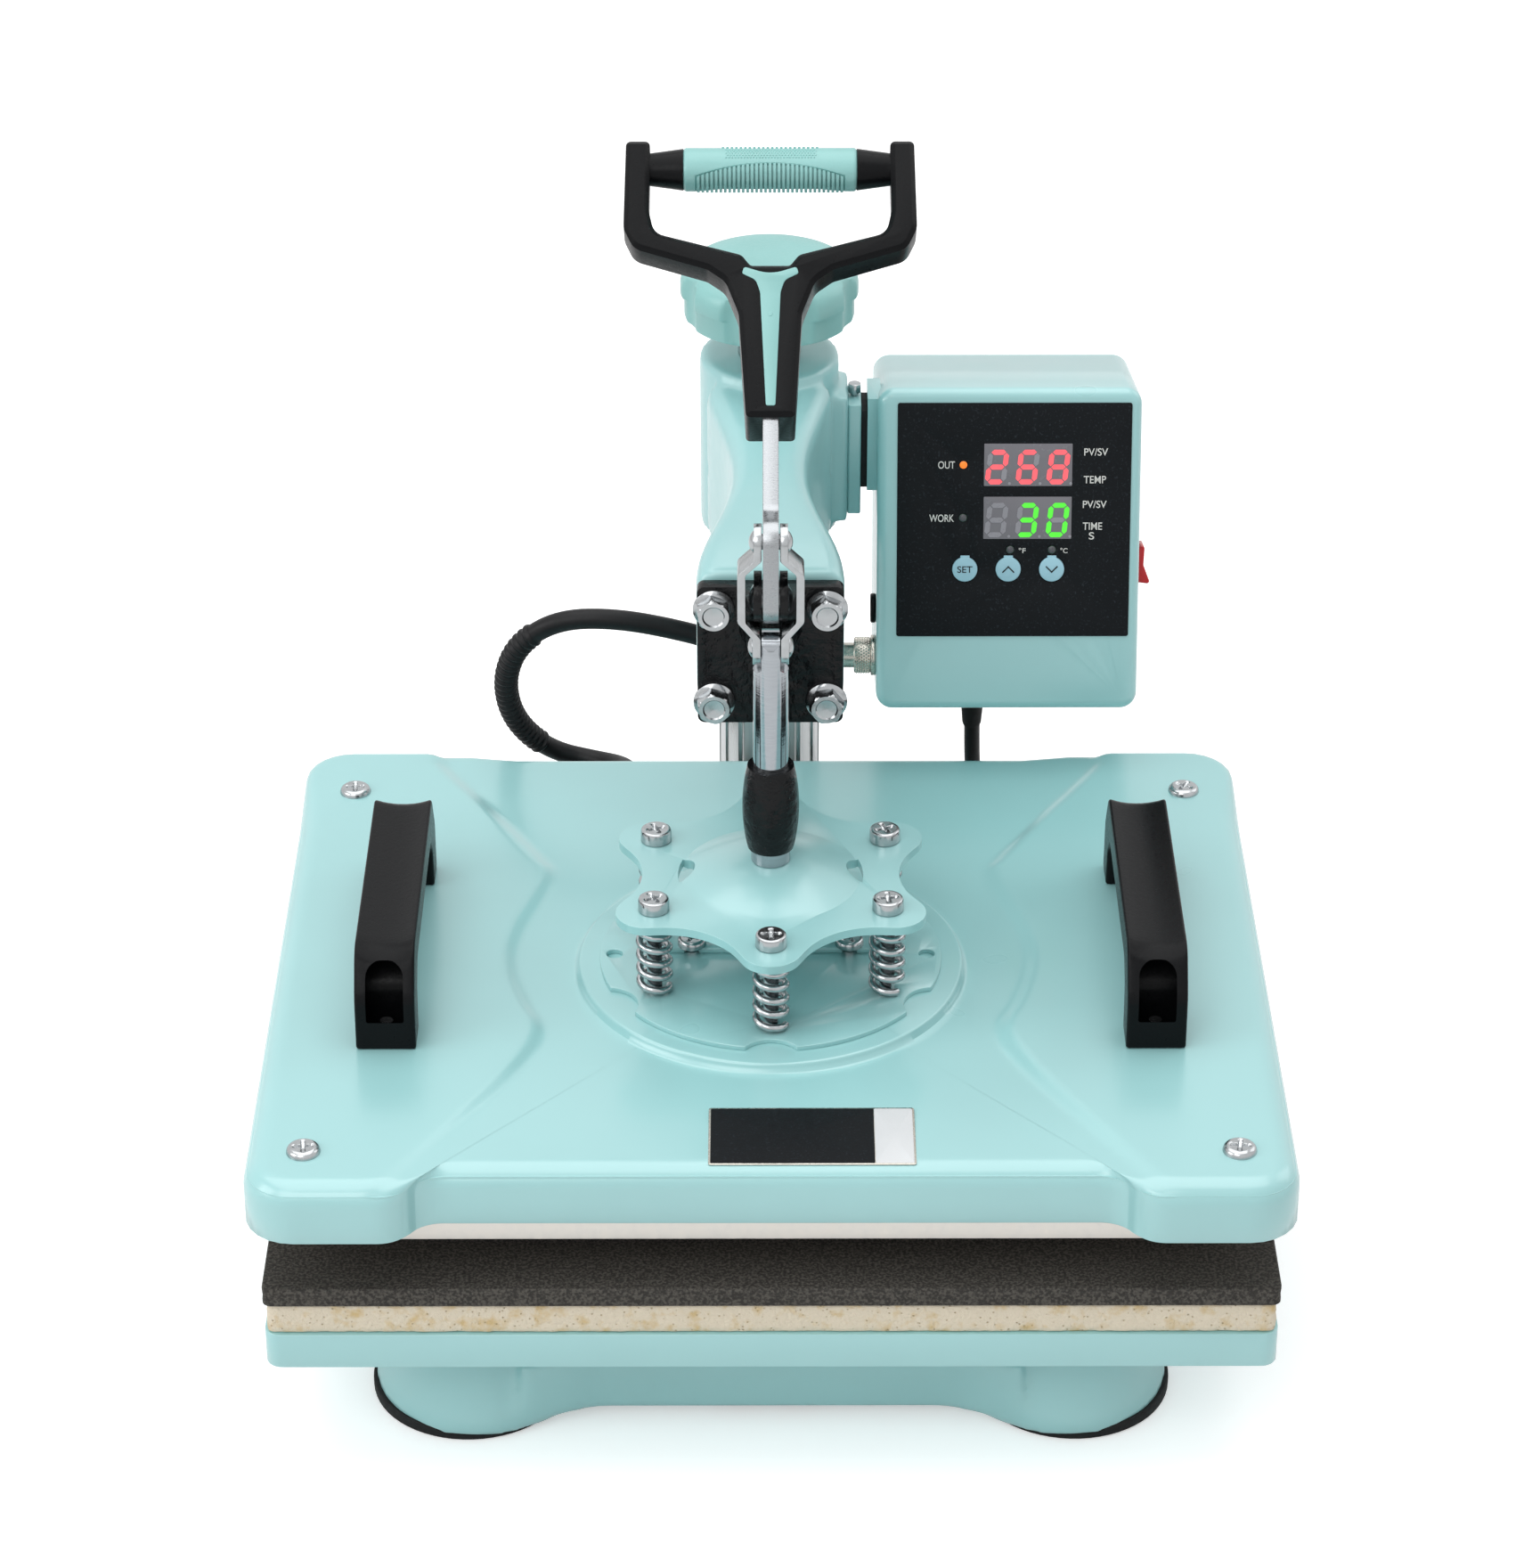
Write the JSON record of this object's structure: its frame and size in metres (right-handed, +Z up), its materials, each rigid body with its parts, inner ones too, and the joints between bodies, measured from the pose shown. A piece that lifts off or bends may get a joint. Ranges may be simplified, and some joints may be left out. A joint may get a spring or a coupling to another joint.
{
  "type": "combo heat press",
  "caption": "Swing-away heat press: flat heated upper platen on a toggle lever over a padded lower platen, with column, pressure knob and tilted control box.",
  "frame": {"origin": "on the table under the middle of the press, cords left out", "axes": "+Z up, the front with the lever's working side faces -Y, +X towards the control box"},
  "size_m": [0.39, 0.5105, 0.4372],
  "materials": {
    "mint_cast": "satin powder coat",
    "mint_sheet": "satin powder coat",
    "black_paint": "thick gloss paint",
    "rubber_black": "matt",
    "sponge": "open foam",
    "silicone": "matt",
    "ptfe_aluminium": "coated, smooth",
    "steel": "drawn",
    "chrome": "polished",
    "bronze": "sintered",
    "black_plastic": "fine grain",
    "mint_plastic": "satin",
    "panel_black": "printed film",
    "display": "smoked",
    "button_blue": "moulded",
    "switch_red": "moulded",
    "board": "glass-fibre laminate",
    "mica": "fibre board",
    "nickel": "satin plate",
    "cable_black": "satin"
  },
  "bodies": {
    "base": {"base_casting": "mint_cast", "rubber_feet": "rubber_black", "lower_platen": "mint_cast", "platen_bolts": "steel", "sponge_pad": "sponge", "silicone_pad": "silicone", "column_tube": "steel", "column_bushes": "bronze", "mains_cord": "cable_black", "mains_coil": "cable_black", "mains_plug": "cable_black"},
    "spindle": {"spindle": "steel"},
    "arm": {"arm_casting": "mint_cast", "control_bracket": "mint_cast", "bracket_gasket": "black_plastic", "bracket_screws": "chrome", "toggle_base": "black_paint", "flange_bolts": "chrome", "pivot_pin": "chrome", "box_shell": "mint_sheet", "box_back_cover": "mint_sheet", "box_screws": "chrome", "control_panel": "panel_black", "temperature_display": "display", "timer_display": "display", "circuit_board": "board", "transformer": "steel", "switch_housing": "black_plastic", "fuse_holder": "black_plastic", "cable_socket": "nickel", "cable_plug": "nickel", "platen_cable": "cable_black", "cord_gland": "black_plastic"},
    "knob": {"pressure_knob": "mint_cast", "lead_screw": "chrome"},
    "lever": {"lever_plate": "steel", "handle_frame": "black_plastic", "handle_inlay": "mint_plastic", "grip_sleeve": "mint_plastic"},
    "links": {"toggle_links": "chrome", "link_rivets": "chrome"},
    "plunger": {"plunger_rod": "chrome", "spider_plate": "mint_sheet"},
    "upper_platen": {"platen_cover": "mint_sheet", "insulation_board": "mica", "heating_element": "steel", "heating_plate": "ptfe_aluminium", "mounting_disc": "mint_sheet", "clamp_strap": "mint_sheet", "strap_screws": "chrome", "spring_screws": "chrome", "springs": "chrome", "corner_screws": "chrome", "side_handles": "black_plastic", "handle_screws": "chrome", "cable_gland": "black_plastic"},
    "set_key": {"set_button": "button_blue"},
    "up_key": {"up_button": "button_blue"},
    "down_key": {"down_button": "button_blue"},
    "rocker": {"rocker_switch": "switch_red"}
  },
  "joints": [
    {"name": "swing", "type": "hinge", "parent": "base", "child": "spindle", "pos_m": [0, 0.146, 0.29], "axis": [0, 0, 1], "range_deg": [-90, 90], "deforming": ["mains_cord"]},
    {"name": "arm_lift", "type": "slide", "parent": "spindle", "child": "arm", "axis": [0, 0, 1], "range_m": [0, 0.02]},
    {"name": "pressure_knob", "type": "hinge", "parent": "arm", "child": "knob", "pos_m": [0, 0.146, 0.31], "axis": [0, 0, 1], "range_deg": [0, 1800.01]},
    {"name": "press_lever", "type": "hinge", "parent": "arm", "child": "lever", "pos_m": [0, -0.054, 0.301], "axis": [1, 0, 0], "range_deg": [0, 115]},
    {"name": "link_pivot", "type": "hinge", "parent": "lever", "child": "links", "pos_m": [0, -0.054, 0.325], "axis": [1, 0, 0], "range_deg": [-85.82, 0]},
    {"name": "plunger_slide", "type": "slide", "parent": "arm", "child": "plunger", "axis": [0, 0, 1], "range_m": [-0.02849, 0]},
    {"name": "platen_slide", "type": "slide", "parent": "arm", "child": "upper_platen", "axis": [0, 0, 1], "range_m": [-0.01771, 0], "deforming": ["springs", "platen_cable"]},
    {"name": "set_press", "type": "slide", "parent": "arm", "child": "set_key", "axis": [0, 0.9659, -0.2588], "range_m": [0, 0.0008], "stiffness_N_per_m": 900, "springref_m": -0.0006},
    {"name": "up_press", "type": "slide", "parent": "arm", "child": "up_key", "axis": [0, 0.9659, -0.2588], "range_m": [0, 0.0008], "stiffness_N_per_m": 900, "springref_m": -0.0006},
    {"name": "down_press", "type": "slide", "parent": "arm", "child": "down_key", "axis": [0, 0.9659, -0.2588], "range_m": [0, 0.0008], "stiffness_N_per_m": 900, "springref_m": -0.0006},
    {"name": "power_switch", "type": "hinge", "parent": "arm", "child": "rocker", "pos_m": [0.1505, 0.14835, 0.20934], "axis": [0, -0.9659, 0.2588], "range_deg": [-18, 0]}
  ],
  "couplings": [
    {"joint": "pressure_knob", "follows": "arm_lift", "rad_per_m": 1570.8},
    {"joint": "link_pivot", "follows": "press_lever", "ratio": -0.74618},
    {"joint": "plunger_slide", "follows": "press_lever", "m_per_rad": -0.014189},
    {"joint": "platen_slide", "follows": "press_lever", "m_per_rad": -0.0088186}
  ]
}
